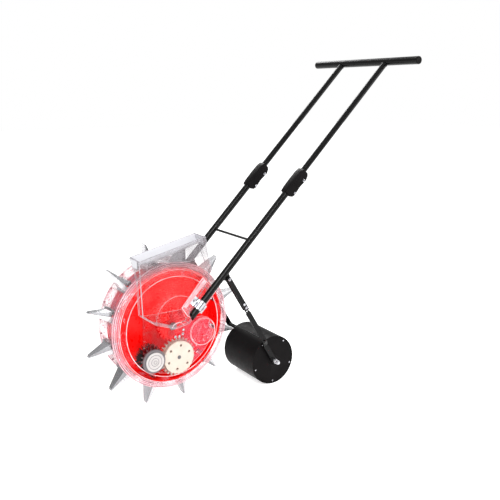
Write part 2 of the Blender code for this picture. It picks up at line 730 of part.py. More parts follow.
def arm_channel(side, axis):
    """A channel open towards the drum; its web stops short of the pivot, clear of the lug."""
    y = SIDES[side] * HANDLE_Y
    half, depth = CHANNEL_HALF, CHANNEL_DEPTH_HALF
    outline = [(CHANNEL_END, -half), (CHANNEL_END, half)] + arc((0, 0), half, 90, 270, 8)
    body = extruded(f"{side}_arm_channel", [outline], -depth, depth)
    body.data.transform(Matrix.Rotation(-math.pi / 2, 4, "X"))
    wall = depth - 0.0015
    inside = block("inside", (-0.02, -0.02, -wall), (CHANNEL_END + 0.01, half - 0.0015, wall))
    notch = block("notch", (-0.02, 0.0, -wall), (0.020, 0.02, wall))
    for piece in (body, inside, notch):
        piece.data.transform(arm_frame(side))

    def across(name, along, low, high, radius, sides):
        return rod(name, on_arm(along, y=y + low), on_arm(along, y=y + high), radius, sides)

    screw_hole = across("screw_hole", ARM_SCREW_AT, -0.02, 0.02, 0.0034, 16)
    pivot = across("pivot", 0, -0.0105, 0.0105, 0.0035, 16)
    heads = [across("head", 0, low, low + 0.003, 0.0055, 6) for low in (-0.0095, 0.0065)]
    return settle(join(cut(body, inside, notch, screw_hole), pivot, *heads), "black_paint", axis)


def arm_bar(side, axis):
    """A flat bar that slides in the channel and steps inwards to the roller's end."""
    y = SIDES[side] * HANDLE_Y
    step = (HANDLE_Y - BAR_INNER_Y) * SIDES[side]
    half, end = 0.0025, ARM_LENGTH + 0.010
    path = [(0.022, 0), (0.262, 0), (0.282, step), (end, step)]
    upper = [(along, across + half) for along, across in path]
    lower = [(along, across - half) for along, across in reversed(path)]
    flat = basis(ALONG_ARM, (0, -1, 0), -BEHIND_ARM, on_arm(0, y=y))
    bar = extruded(f"{side}_arm_bar", [upper + lower], -BAR_HALF, BAR_HALF, flat)
    slide = arc((0.131, 0), 0.0034, -90, 90, 8) + arc((0.038, 0), 0.0034, 90, 270, 8)
    slot = extruded("slot", [slide], -0.01, 0.01, arm_frame(side))
    shoulder, tongue = CHANNEL_END + 0.013, CHANNEL_HALF - 0.0018
    cheeks = []
    for low, high in ((-0.02, -tongue), (tongue, 0.02)):
        cheek = block("cheek", (0.0, low, -0.01), (shoulder, high, 0.01))
        cheek.data.transform(arm_frame(side))
        cheeks.append(cheek)
    holes = [(ARM_LENGTH, ROLLER_AXLE_R + GAP), (SCRAPER_AT, 0.0028)]
    drills = [rod("hole", on_arm(at, y=y * 0.5), on_arm(at, y=y * 1.2), r) for at, r in holes]
    return settle(cut(bar, slot, *cheeks, *drills), "black_paint", axis)


def scraper_rod(axis):
    """The rod across the two arms, just clear of the roller, with its tail bent forwards."""
    curve = bpy.data.curves.new("scraper_rod", "CURVE")
    curve.dimensions = "3D"
    curve.bevel_depth = 0.0025
    curve.bevel_resolution = 2
    curve.use_fill_caps = True
    tail = Vector((-0.014, 0.004, 0.002))
    points = [on_arm(SCRAPER_AT, y=-0.110), on_arm(SCRAPER_AT, y=0.112)]
    points.append(points[-1] + Vector((-0.004, 0.004, 0.0)))
    points.append(points[-1] + tail)
    spline = curve.splines.new("POLY")
    spline.points.add(len(points) - 1)
    for point, place in zip(spline.points, points):
        point.co = (*place, 1)
    return settle(baked(new_object("scraper_rod", curve)), "black_paint", axis)


def roller_axle(axis):
    y = BAR_INNER_Y + 0.0028
    ends = [on_arm(ARM_LENGTH, y=end) for end in (-0.113, 0.113)]
    shaft = rod("roller_axle", *ends, ROLLER_AXLE_R, 16)
    nuts = [
        rod("nut", on_arm(ARM_LENGTH, y=side * y), on_arm(ARM_LENGTH, y=side * (y + 0.006)), 0.008, 6)
        for side in SIDES.values()
    ]
    return settle(join(shaft, *nuts), "steel", axis)


def firming_roller(axis):
    ends = [on_arm(ARM_LENGTH, y=end) for end in (-ROLLER_HALF, ROLLER_HALF)]
    bore = ROLLER_R - ROLLER_SHEET
    settle(hollow("roller_shell", *ends, ROLLER_R, bore, 64), "black_plastic", axis)
    hole, rim = ROLLER_AXLE_R + 0.0004, bore - GAP
    inner, face = ROLLER_HALF - 0.005, ROLLER_HALF - 0.0005
    for side, sign in SIDES.items():
        profile = [(hole, inner - 0.006), (0.016, inner - 0.006), (0.016, inner), (rim, inner)]
        profile += [(rim, face), (0.018, face), (0.017, face + 0.002), (hole, face + 0.002)]
        cap = turned(f"{side}_roller_cap", profile, 32, (0, sign, 0), on_arm(ARM_LENGTH))
        settle(cap, "black_plastic", axis)


# ---- assembly -----------------------------------------------------------------------------
cleared_scene()
PARTS = collection("push_seeder")
CUTTERS = collection("cutters", shown=False)
AXLE = empty("axle_frame", (AXLE_X, 0, AXLE_HEIGHT))
bpy.context.view_layer.update()


def assemble():
    drum_axis = empty("drum_axis", (0, 0, 0), AXLE)
    seed_axis = empty("seed_roller_axis", SEED_AT, AXLE)
    brush_axis = empty("brush_axis", BRUSH_AT, AXLE)
    handle_slide = empty("handle_slide", on_handle(UPPER_SPAN[0]), AXLE)
    arm_pivot = empty("arm_pivot", PIVOT, AXLE)
    arm_slide = empty("arm_slide", on_arm(CHANNEL_END) - PIVOT, arm_pivot)
    roller_axis = empty("roller_axis", on_arm(ARM_LENGTH) - on_arm(CHANNEL_END), arm_slide)
    bpy.context.view_layer.update()
    for side, sign in SIDES.items():
        lower_tube(side)
        coupler(side)
        screw_at = coupler_screw_at(sign * HANDLE_Y)
        through_bolt(f"{side}_coupler_screw", screw_at, COUPLER_HALF_WIDTH + GAP, AXLE)
        tube_clamp(side)
        upper_tube(side, handle_slide)
        arm_channel(side, arm_pivot)
        screw_at = on_arm(ARM_SCREW_AT, y=sign * HANDLE_Y)
        through_bolt(f"{side}_arm_screw", screw_at, CHANNEL_DEPTH_HALF + GAP, arm_pivot)
        arm_bar(side, arm_slide)
    cross_bar()
    grip_bar(handle_slide)
    left_bracket()
    right_bracket()
    hopper()
    metering_plate()
    discharge_cover()
    axle()
    drum_shell_left(drum_axis)
    drum_shell_right(drum_axis)
    drum_dish(drum_axis)
    hub_bearing(drum_axis)
    hub_gear(drum_axis)
    mouths(drum_axis)
    seed_roller(seed_axis)
    brush_wheel(brush_axis)
    scraper_rod(arm_slide)
    roller_axle(arm_slide)
    firming_roller(roller_axis)


assemble()
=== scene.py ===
"""The looks of the push seeder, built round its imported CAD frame.

Metres, +Z up; the machine is pushed towards -X, and its left side is at -Y.
"""

import json
import math
import random

import bmesh
import bpy
from mathutils import Matrix, Vector


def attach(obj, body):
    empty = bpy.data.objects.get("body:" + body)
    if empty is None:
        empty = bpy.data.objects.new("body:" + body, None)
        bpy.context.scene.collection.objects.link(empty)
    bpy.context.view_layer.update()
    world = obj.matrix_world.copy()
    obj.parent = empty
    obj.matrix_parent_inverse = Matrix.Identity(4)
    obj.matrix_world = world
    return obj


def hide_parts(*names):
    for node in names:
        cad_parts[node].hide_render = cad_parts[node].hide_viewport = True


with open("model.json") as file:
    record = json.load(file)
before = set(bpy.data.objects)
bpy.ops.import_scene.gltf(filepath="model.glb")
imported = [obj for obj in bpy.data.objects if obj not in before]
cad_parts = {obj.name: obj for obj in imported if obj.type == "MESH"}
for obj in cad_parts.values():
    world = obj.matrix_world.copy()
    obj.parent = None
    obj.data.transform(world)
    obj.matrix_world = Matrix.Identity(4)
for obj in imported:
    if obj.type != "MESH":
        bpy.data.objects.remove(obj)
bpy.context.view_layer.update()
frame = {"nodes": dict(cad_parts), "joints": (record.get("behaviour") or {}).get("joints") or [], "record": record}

RECORD = frame["record"]
JOINTS = {joint["name"]: joint for joint in frame["joints"]}
BODY_OF = {node: body for body, nodes in RECORD["behaviour"]["bodies"].items() for node in nodes}
SLOT_OF = {row["node"]: row["material_slot"] for row in RECORD["subparts"]}

# Places and directions that the frame fixes
AXLE = Vector(JOINTS["drum_spin"]["pos_m"])
PIVOT = Vector(JOINTS["arm_pivot"]["pos_m"])
ROLLER = Vector(JOINTS["roller_spin"]["pos_m"])
SEED = Vector(JOINTS["seed_roller_spin"]["pos_m"])
BRUSH = Vector(JOINTS["brush_spin"]["pos_m"])
ALONG_HANDLE = Vector(JOINTS["handle_slide"]["axis"]).normalized()
BEHIND_HANDLE = Vector((ALONG_HANDLE.z, 0, -ALONG_HANDLE.x))
ALONG_ARM = Vector(JOINTS["arm_slide"]["axis"]).normalized()
BEHIND_ARM = Vector((-ALONG_ARM.z, 0, ALONG_ARM.x))
ACROSS = Vector((0, 1, 0))
SIDES = {"left": -1, "right": 1}

# The CAD's own dimensions that the added pieces fit
GAP = 0.0003
HANDLE_START = AXLE + Vector((0.1338, 0, 0.1345))
HANDLE_Y = 0.1024
LOWER_R, UPPER_R = 0.0104, 0.0092
CLAMP_AT, CROSS_BAR_AT, COUPLER_AT, GRIP_AT = -0.098, 0.149, 0.378, 0.899
CROSS_BAR_R = 0.0040
GRIP_R, GRIP_BORE_R, GRIP_HALF = 0.0125, 0.0110, 0.2374
MOUTHS, FIRST_MOUTH = 12, 15
FOOT_FACE_R = 0.180
FLAP_PIN = (0.1865, -0.014)
HOPPER_FACE_Y = -0.0883
BRACKET_FACE_Y = 0.0916
PLATE_FACE_Y = -0.054
WINDOW = AXLE + Vector((-0.025, -0.060, 0.030))
HOPPER_RIM_SLOPE = 0.23
SEED_FACE_Y, BRUSH_FACE_Y = -0.0605, -0.0708
ARM_SCREW_AT, SCRAPER_AT = 0.101, 0.256
ROLLER_HALF, AXLE_NUT_Y = 0.082, 0.1075


# ---- camera, light and floor --------------------------------------------------------------
def camera():
    """The photograph's viewpoint: left of and ahead of the machine, a little above the hopper."""
    data = bpy.data.cameras.new("camera")
    data.lens = 49.37
    data.shift_x = 0.0955
    data.shift_y = -0.0652
    view = bpy.data.objects.new("camera", data)
    view.location = AXLE + Vector((-0.910, -1.7524, 0.6726))
    view.rotation_euler = (math.radians(79.74), 0, math.radians(-30.77))
    bpy.context.scene.collection.objects.link(view)
    bpy.context.scene.camera = view


def area_light(name, at, size, power):
    data = bpy.data.lights.new(name, "AREA")
    data.shape = "DISK"
    data.size = size
    data.energy = power
    lamp = bpy.data.objects.new(name, data)
    lamp.location = at
    lamp.rotation_euler = (Vector((0, 0, 0.35)) - Vector(at)).to_track_quat("-Z", "Y").to_euler()
    bpy.context.scene.collection.objects.link(lamp)


def studio():
    """A white studio, dimmer to the sides, so that metal and black paint keep their contrast."""
    bpy.context.scene.view_settings.view_transform = "Standard"
    bpy.context.scene.cycles.transparent_max_bounces = 24
    world = bpy.data.worlds.new("studio")
    bpy.context.scene.world = world
    world.use_nodes = True
    nodes, links = world.node_tree.nodes, world.node_tree.links
    background = nodes["Background"]
    coords = nodes.new("ShaderNodeTexCoord")
    split = nodes.new("ShaderNodeSeparateXYZ")
    ramp = nodes.new("ShaderNodeValToRGB")
    stops = ((0.0, 0.50), (0.42, 0.60), (0.58, 0.95), (1.0, 1.0))
    for place, level in stops[2:]:
        ramp.color_ramp.elements.new(place).color = (level, level, level, 1)
    for element, (place, level) in zip(ramp.color_ramp.elements, stops):
        element.position = place
        element.color = (level, level, level, 1)
    seen = nodes.new("ShaderNodeLightPath")
    mix = nodes.new("ShaderNodeMix")
    mix.data_type = "RGBA"
    mix.inputs["B"].default_value = (1, 1, 1, 1)
    links.new(coords.outputs["Generated"], split.inputs[0])
    links.new(split.outputs["Z"], ramp.inputs["Fac"])
    links.new(ramp.outputs["Color"], mix.inputs["A"])
    links.new(seen.outputs["Is Camera Ray"], mix.inputs["Factor"])
    links.new(mix.outputs["Result"], background.inputs["Color"])
    background.inputs["Strength"].default_value = 1.0
    area_light("key", (-1.7, -2.3, 2.5), 1.2, 70)
    area_light("front", (-1.1, -2.6, 0.7), 0.8, 26)
    area_light("tube_line", (-0.42, -2.34, 2.0), 0.3, 9)
    area_light("fill", (2.2, -1.9, 1.2), 0.9, 12)
    area_light("rim", (0.9, 2.3, 2.3), 1.2, 30)

    bpy.ops.mesh.primitive_grid_add(x_subdivisions=8, y_subdivisions=8, size=30)
    floor = bpy.context.object
    floor.name = "floor"
    pale = bpy.data.materials.new("pale_floor")
    pale.use_nodes = True
    shader = pale.node_tree.nodes["Principled BSDF"]
    shader.inputs["Base Color"].default_value = (0.8, 0.8, 0.8, 1)
    shader.inputs["Roughness"].default_value = 0.9
    shader.inputs["Specular IOR Level"].default_value = 0.0
    shader.inputs["Emission Color"].default_value = (1, 1, 1, 1)
    shader.inputs["Emission Strength"].default_value = 0.62
    floor.data.materials.append(pale)


# ---- materials ----------------------------------------------------------------------------
class Paint:
    """A Principled material built up step by step from procedural detail."""

    def __init__(self, name, colour, roughness, metallic=0.0, specular=0.5):
        self.material = bpy.data.materials.new(name)
        self.material.use_nodes = True
        self.nodes = self.material.node_tree.nodes
        self.links = self.material.node_tree.links
        self.shader = self.nodes["Principled BSDF"]
        self.colour = colour
        self.shader.inputs["Base Color"].default_value = (*colour, 1)
        self.shader.inputs["Roughness"].default_value = roughness
        self.shader.inputs["Metallic"].default_value = metallic
        self.shader.inputs["Specular IOR Level"].default_value = specular
        self.place = self.nodes.new("ShaderNodeTexCoord").outputs["Object"]
        self.normal = None

    def noise(self, scale, detail=3.0, stretch=(1, 1, 1)):
        mapping = self.nodes.new("ShaderNodeMapping")
        mapping.inputs["Scale"].default_value = stretch
        self.links.new(self.place, mapping.inputs["Vector"])
        texture = self.nodes.new("ShaderNodeTexNoise")
        texture.inputs["Scale"].default_value = scale
        texture.inputs["Detail"].default_value = detail
        self.links.new(mapping.outputs[0], texture.inputs["Vector"])
        return texture.outputs["Fac"]

    def along(self, direction):
        """How far a point of the piece lies along a direction from the drum's axle."""
        offset = self.nodes.new("ShaderNodeVectorMath")
        offset.operation = "SUBTRACT"
        offset.inputs[1].default_value = AXLE
        self.links.new(self.place, offset.inputs[0])
        dot = self.nodes.new("ShaderNodeVectorMath")
        dot.operation = "DOT_PRODUCT"
        dot.inputs[1].default_value = direction
        self.links.new(offset.outputs[0], dot.inputs[0])
        return dot.outputs["Value"]

    def from_axle(self):
        """How far a point of the piece is from the drum's axle."""
        offset = self.nodes.new("ShaderNodeVectorMath")
        offset.operation = "SUBTRACT"
        offset.inputs[1].default_value = AXLE
        self.links.new(self.place, offset.inputs[0])
        flat = self.nodes.new("ShaderNodeVectorMath")
        flat.operation = "MULTIPLY"
        flat.inputs[1].default_value = (1, 0, 1)
        self.links.new(offset.outputs[0], flat.inputs[0])
        length = self.nodes.new("ShaderNodeVectorMath")
        length.operation = "LENGTH"
        self.links.new(flat.outputs[0], length.inputs[0])
        return length.outputs["Value"]

    def ranged(self, value, low, high, source=(0.3, 0.7)):
        span = self.nodes.new("ShaderNodeMapRange")
        span.inputs["From Min"].default_value = source[0]
        span.inputs["From Max"].default_value = source[1]
        span.inputs["To Min"].default_value = low
        span.inputs["To Max"].default_value = high
        self.links.new(value, span.inputs["Value"])
        return span.outputs["Result"]

    def combined(self, operation, first, second):
        node = self.nodes.new("ShaderNodeMath")
        node.operation = operation
        node.use_clamp = True
        self.links.new(first, node.inputs[0])
        self.links.new(second, node.inputs[1])
        return node.outputs[0]

    def varied(self, value, other, low=0.0, high=1.0, source=(0.3, 0.7)):
        """Blends the base colour towards another where the value is high."""
        mix = self.nodes.new("ShaderNodeMix")
        mix.data_type = "RGBA"
        before = self.shader.inputs["Base Color"]
        if before.is_linked:
            self.links.new(before.links[0].from_socket, mix.inputs["A"])
        else:
            mix.inputs["A"].default_value = (*self.colour, 1)
        mix.inputs["B"].default_value = (*other, 1)
        self.links.new(self.ranged(value, low, high, source), mix.inputs["Factor"])
        self.links.new(mix.outputs["Result"], self.shader.inputs["Base Color"])
        return self

    def rough(self, value, low, high):
        self.links.new(self.ranged(value, low, high), self.shader.inputs["Roughness"])
        return self

    def bump(self, value, strength, distance):
        node = self.nodes.new("ShaderNodeBump")
        node.inputs["Strength"].default_value = strength
        node.inputs["Distance"].default_value = distance
        self.links.new(value, node.inputs["Height"])
        if self.normal:
            self.links.new(self.normal, node.inputs["Normal"])
        self.normal = node.outputs["Normal"]
        self.links.new(self.normal, self.shader.inputs["Normal"])
        return self

    def alpha(self, value):
        self.links.new(value, self.shader.inputs["Alpha"])
        return self


def clear_plastic(name, tint, low, high, streaks=0.25):
    """Clear moulding: mostly see-through, with cloudy streaks and sparse spots painted in as highlights where it
    would catch the light.
    """
    paint = Paint(name, tint, 0.08)
    paint.rough(paint.noise(60), 0.05, 0.16)
    paint.varied(paint.noise(14, 2), tuple(c * 0.9 for c in tint), 0.0, 0.5)
    paint.bump(paint.noise(45, 2), 0.15, 0.0008)
    cloud = paint.ranged(paint.noise(22, 4), low, high, (0.42, 0.62))
    # Sparse nearly opaque spots: painted highlights, as strong as the streaks argument says.
    painted_glints = paint.ranged(paint.noise(95, 1), 0.0, streaks, (0.60, 0.70))
    return paint.alpha(paint.combined("ADD", cloud, painted_glints))


def drum_plastic():
    """The drum's flat faces are clear; its rim, which light crosses many times, is painted pink and cloudier, and
    sparse spots are painted glints.
    """
    paint = Paint("drum_clear", (0.56, 0.20, 0.25), 0.08)
    paint.rough(paint.noise(60), 0.05, 0.16)
    paint.varied(paint.noise(16, 2), (0.40, 0.24, 0.28), 0.0, 0.7)
    paint.bump(paint.noise(45, 2), 0.15, 0.0008)
    # The rim's pink, cloudier look is painted light, for the light that crosses the rim many times.
    rim = paint.ranged(paint.from_axle(), 0.0, 1.0, (0.170, 0.177))
    cloud = paint.combined("MULTIPLY", rim, paint.ranged(paint.noise(24, 4), 0.20, 0.52, (0.40, 0.62)))
    haze = paint.ranged(paint.noise(20, 3), 0.0, 0.05, (0.45, 0.65))
    # Sparse nearly opaque spots: painted glints on the clear faces.
    painted_glints = paint.ranged(paint.noise(95, 1), 0.0, 0.30, (0.62, 0.70))
    return paint.alpha(paint.combined("ADD", paint.combined("ADD", cloud, haze), painted_glints)).material


def hopper_plastic():
    """Milky inside its rim, clear in front, and painted redder lower down, for the red light of the drum behind
    it.
    """
    paint = Paint("hopper_clear", (0.22, 0.20, 0.215), 0.07)
    paint.rough(paint.noise(60), 0.05, 0.16)
    # Painted red light: the base colour turns red lower down, where the drum shows through.
    paint.varied(paint.along((0, 0, 1)), (0.50, 0.06, 0.06), 0.0, 1.0, (0.20, 0.15))
    paint.bump(paint.noise(45, 2), 0.12, 0.0008)
    under_rim = paint.ranged(paint.along((-HOPPER_RIM_SLOPE, 0, 1)), 0.0, 1.0, (0.212, 0.222))
    behind = paint.ranged(paint.along((0, 1, 0)), 0.0, 1.0, (-0.080, -0.072))
    milky = paint.combined("MULTIPLY", under_rim, behind)
    paint.varied(milky, (0.50, 0.50, 0.53), 0.0, 1.0, (0.0, 1.0))
    height = paint.ranged(paint.along((0, 0, 1)), 0.03, 0.22, (0.15, 0.215))
    cloud = paint.ranged(paint.noise(26, 4), 0.0, 0.08, (0.45, 0.65))
    return paint.alpha(paint.combined("ADD", milky, paint.combined("ADD", height, cloud))).material


def plate_plastic():
    """The pink plate: darker and clearer on its left half, pink on its right."""
    paint = Paint("plate_clear", (0.22, 0.0, 0.003), 0.1)
    paint.varied(paint.along((1, 0, 0)), (0.60, 0.07, 0.12), 0.0, 1.0, (-0.02, 0.06))
    paint.rough(paint.noise(60), 0.06, 0.18)
    paint.bump(paint.noise(45, 2), 0.1, 0.0008)
    side = paint.ranged(paint.along((1, 0, 0)), 0.14, 0.22, (-0.02, 0.06))
    cloud = paint.ranged(paint.noise(30, 4), 0.0, 0.15, (0.45, 0.65))
    return paint.alpha(paint.combined("ADD", side, cloud)).material


def red_plastic():
    paint = Paint("red_plastic", (0.95, 0.004, 0.003), 0.3, 0.0, 0.35)
    paint.varied(paint.noise(9, 2), (0.80, 0.002, 0.002), 0.0, 0.4)
    paint.rough(paint.noise(80), 0.24, 0.38)
    return paint.bump(paint.noise(300, 2), 0.05, 0.0004).material


def black_paint():
    paint = Paint("black_paint", (0.0012, 0.0012, 0.0013), 0.25, 0.0, 0.16)
    paint.varied(paint.noise(26, 4), (0.0026, 0.0024, 0.0024), 0.0, 0.8)
    paint.rough(paint.noise(140), 0.20, 0.32)
    return paint.bump(paint.noise(900, 2), 0.10, 0.0002).material


def black_plastic():
    paint = Paint("black_plastic", (0.0024, 0.0019, 0.0021), 0.38, 0.0, 0.06)
    paint.varied(paint.noise(18, 4), (0.005, 0.0040, 0.0042), 0.0, 0.9)
    paint.rough(paint.noise(90), 0.36, 0.52)
    return paint.bump(paint.noise(1400, 2), 0.12, 0.0002).material


def metal(name, colour, low, high, metallic=1.0):
    paint = Paint(name, colour, (low + high) / 2, metallic)
    paint.varied(paint.noise(30, 4), tuple(c * 0.74 for c in colour), 0.0, 0.7)
    paint.rough(paint.noise(70, 3, (1, 12, 1)), low, high)
    return paint.bump(paint.noise(260, 2, (1, 16, 1)), 0.10, 0.0002).material


def plain_plastic(name, colour, shade, rough):
    paint = Paint(name, colour, rough)
    paint.varied(paint.noise(35, 4), shade, 0.0, 0.7)
    paint.rough(paint.noise(120), rough - 0.07, rough + 0.08)
    return paint.bump(paint.noise(700, 2), 0.08, 0.0002).material


MATERIALS = {
    "hopper_clear": hopper_plastic(),
    "drum_clear": drum_plastic(),
    "bracket_clear": clear_plastic("bracket_clear", (0.60, 0.34, 0.38), 0.06, 0.26).material,
    "cover_clear": clear_plastic("cover_clear", (0.80, 0.32, 0.36), 0.0, 0.06, 0.4).material,
    "plate_clear": plate_plastic(),
    # edge_pink, rim_pink and edge_grey colour thin beads that paint in highlight and shade lines along clear edges
    # and rings.
    "edge_pink": clear_plastic("edge_pink", (0.95, 0.62, 0.65), 0.40, 0.92).material,
    "rim_pink": clear_plastic("rim_pink", (0.48, 0.20, 0.25), 0.35, 0.85).material,
    "edge_grey": clear_plastic("edge_grey", (0.40, 0.38, 0.41), 0.45, 0.90).material,
    "red": red_plastic(),
    "black_paint": black_paint(),
    "black_plastic": black_plastic(),
    "steel": metal("pressed_steel", (0.62, 0.62, 0.64), 0.16, 0.30, 0.7),
    "flap_steel": metal("flap_steel", (0.33, 0.33, 0.345), 0.16, 0.30, 0.85),
    "dark_steel": metal("dull_steel", (0.20, 0.20, 0.21), 0.26, 0.42),
    "chrome": metal("bright_plate", (0.50, 0.50, 0.53), 0.06, 0.18),
    "cream": plain_plastic("cream_nylon", (0.55, 0.48, 0.41), (0.46, 0.39, 0.33), 0.42),
    "white": plain_plastic("white_plastic", (0.50, 0.47, 0.46), (0.40, 0.37, 0.37), 0.35),
    "grey": plain_plastic("grey_plastic", (0.15, 0.13, 0.14), (0.09, 0.08, 0.085), 0.5),
    "bristle": plain_plastic("bristle", (0.007, 0.006, 0.006), (0.014, 0.012, 0.012), 0.6),
}


# ---- pieces -------------------------------------------------------------------------------
def placed(piece, body, slot, material, *nodes):
    """Hangs a finished piece on its body, with its material, in place of the CAD nodes named."""
    piece.data.materials.clear()
    piece.data.materials.append(MATERIALS[material])
    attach(piece, body)
    if nodes:
        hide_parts(*nodes)
    return piece


def smoothed(mesh, angle=32):
    mesh.shade_smooth()
    mesh.set_sharp_from_angle(angle=math.radians(angle))


def rounded(piece, width, segments=2, angle=30):
    bevel = piece.modifiers.new("edges", "BEVEL")
    bevel.width = width
    bevel.segments = segments
    bevel.limit_method = "ANGLE"
    bevel.angle_limit = math.radians(angle)
    bevel.harden_normals = True
    return piece


def welded(node):
    shape = bmesh.new()
    shape.from_mesh(frame["nodes"][node].data)
    bmesh.ops.remove_doubles(shape, verts=shape.verts, dist=1e-6)
    return shape


def dressed(node, material, edge=0.0006, angle=30):
    """A finished copy of a CAD node: welded, its flat facets merged, its edges rounded, shaded smooth."""
    shape = welded(node)
    bmesh.ops.dissolve_limit(
        shape, angle_limit=math.radians(1), verts=shape.verts, edges=shape.edges
    )
    mesh = bpy.data.meshes.new(f"{node}_body")
    shape.to_mesh(mesh)
    shape.free()
    smoothed(mesh, angle)
    piece = bpy.data.objects.new(f"{node}_body", mesh)
    bpy.context.scene.collection.objects.link(piece)
    if edge:
        rounded(piece, edge, 2, angle)
    return placed(piece, BODY_OF[node], SLOT_OF[node], material, node)


class Shapes:
    """Several small closed shapes gathered into one piece."""

    def __init__(self):
        self.shape = bmesh.new()

    def _skin(self, rings, closed):
        made = [[self.shape.verts.new(point) for point in ring] for ring in rings]
        pairs = list(zip(made, made[1:])) + ([(made[-1], made[0])] if closed else [])
        for first, second in pairs:
            for i, vert in enumerate(first):
                after = (i + 1) % len(first)
                self.shape.faces.new((vert, first[after], second[after], second[i]))
        if not closed:
            self.shape.faces.new(made[0][::-1])
            self.shape.faces.new(made[-1])

    def lathe(self, profile, at, axis, steps=20, phase=0.0):
        """Turns (radius, height) pairs, from one end to the other, round an axis through a point."""
        turn = Vector(axis).to_track_quat("Z", "X").to_matrix()
        rings = []
        for radius, height in profile:
            angles = [phase + 2 * math.pi * i / steps for i in range(steps)]
            ring = [(radius * math.cos(a), radius * math.sin(a), height) for a in angles]
            rings.append([Vector(at) + turn @ Vector(point) for point in ring])
        self._skin(rings, closed=False)
        return self

    def tube(self, points, radius, sides=8, closed=False):
        """Sweeps a circle along a line of points."""
        points = [Vector(point) for point in points]
        count = len(points)
        rings, across = [], None
        for i, point in enumerate(points):
            before = points[i - 1] if i or closed else point
            after = points[(i + 1) % count] if i < count - 1 or closed else point
            ahead = (after - before).normalized()
            if across is None:
                across = ahead.orthogonal().normalized()
            across = (across - ahead * across.dot(ahead)).normalized()
            third = ahead.cross(across)
            angles = [2 * math.pi * k / sides for k in range(sides)]
            ring = [point + radius * (math.cos(a) * across + math.sin(a) * third) for a in angles]
            rings.append(ring)
        self._skin(rings, closed)
        return self

    def ring(self, at, axis, radius, thickness, steps=64, span=(0, 360), sides=6):
        """A round bead, whole or part, about an axis; angles run from +X towards +Z for a +Y axis."""
        whole = span[1] - span[0] >= 360
        count = steps if whole else steps + 1
        first = Vector((1, 0, 0)) if abs(Vector(axis).y) > 0.9 else Vector(axis).orthogonal().normalized()
        second = first.cross(Vector(axis).normalized())
        points = []
        for i in range(count):
            angle = math.radians(span[0] + (span[1] - span[0]) * i / steps)
            points.append(Vector(at) + radius * (math.cos(angle) * first + math.sin(angle) * second))
        return self.tube(points, thickness, sides, closed=whole)

    def screw(self, at, axis, radius, height):
        """A domed head on a thin washer, with a small socket."""
        profile = [(radius * 1.35, 0), (radius * 1.35, height * 0.25), (radius, height * 0.3)]
        profile += [(radius, height * 0.6), (radius * 0.75, height * 0.92), (radius * 0.42, height)]
        profile += [(radius * 0.36, height * 0.62), (0.0001, height * 0.6)]
        return self.lathe(profile, at, axis, 16)

    def hexagon(self, at, axis, radius, height, phase=0.3):
        """A chamfered hexagonal nut or bolt head with the end of its thread."""
        profile = [(radius, 0), (radius, height * 0.82), (radius * 0.88, height)]
        self.lathe(profile, at, axis, 6, phase)
        tip = [(radius * 0.5, height * 0.5), (radius * 0.5, height * 1.35), (radius * 0.4, height * 1.5)]
        self.lathe(tip, at, axis, 14)
        washer = [(radius * 1.35, -height * 0.05), (radius * 1.35, height * 0.12)]
        washer += [(radius * 1.2, height * 0.16)]
        return self.lathe(washer, at, axis, 24)

    def box(self, low, high, matrix=None):
        made = bmesh.ops.create_cube(self.shape, size=1)["verts"]
        for vert in made:
            vert.co = [l if c < 0 else h for c, l, h in zip(vert.co, low, high)]
        if matrix:
            bmesh.ops.transform(self.shape, matrix=matrix, verts=made)
        return self

    def edges(self, node, radius, least=28, keep=None):
        """Thin beads along the sharp edges of a CAD node."""
        source = welded(node)
        for edge in source.edges:
            if len(edge.link_faces) != 2 or edge.calc_length() < 0.003:
                continue
            if math.degrees(edge.calc_face_angle(0)) < least:
                continue
            first, second = (vert.co.copy() for vert in edge.verts)
            if keep is None or keep(first, second):
                self.tube((first, second), radius, 6)
        source.free()
        return self

    def finished(self, name, body, slot, material, angle=40, edge=0.0):
        bmesh.ops.recalc_face_normals(self.shape, faces=self.shape.faces)
        mesh = bpy.data.meshes.new(name)
        self.shape.to_mesh(mesh)
        self.shape.free()
        smoothed(mesh, angle)
        piece = bpy.data.objects.new(name, mesh)
        bpy.context.scene.collection.objects.link(piece)
        if edge:
            rounded(piece, edge)
        return placed(piece, body, slot, material)


def on_handle(along, behind=0.0, y=0.0):
    return HANDLE_START + along * ALONG_HANDLE + behind * BEHIND_HANDLE + Vector((0, y, 0))


def on_arm(along, behind=0.0, y=0.0):
    return PIVOT + along * ALONG_ARM + behind * BEHIND_ARM + Vector((0, y, 0))


def by_mouth(index, out, y, across):
    """A point in the frame of one mouth: outwards, sideways and round the drum."""
    angle = math.radians(FIRST_MOUTH + 360 * index / MOUTHS)
    outward = Vector((math.cos(angle), 0, math.sin(angle)))
    round_drum = Vector((-math.sin(angle), 0, math.cos(angle)))
    return AXLE + out * outward + across * round_drum + Vector((0, y, 0))


def mouth_frame(index):
    angle = math.radians(FIRST_MOUTH + 360 * index / MOUTHS)
    return Matrix.Translation(AXLE) @ Matrix.Rotation(-angle, 4, "Y")


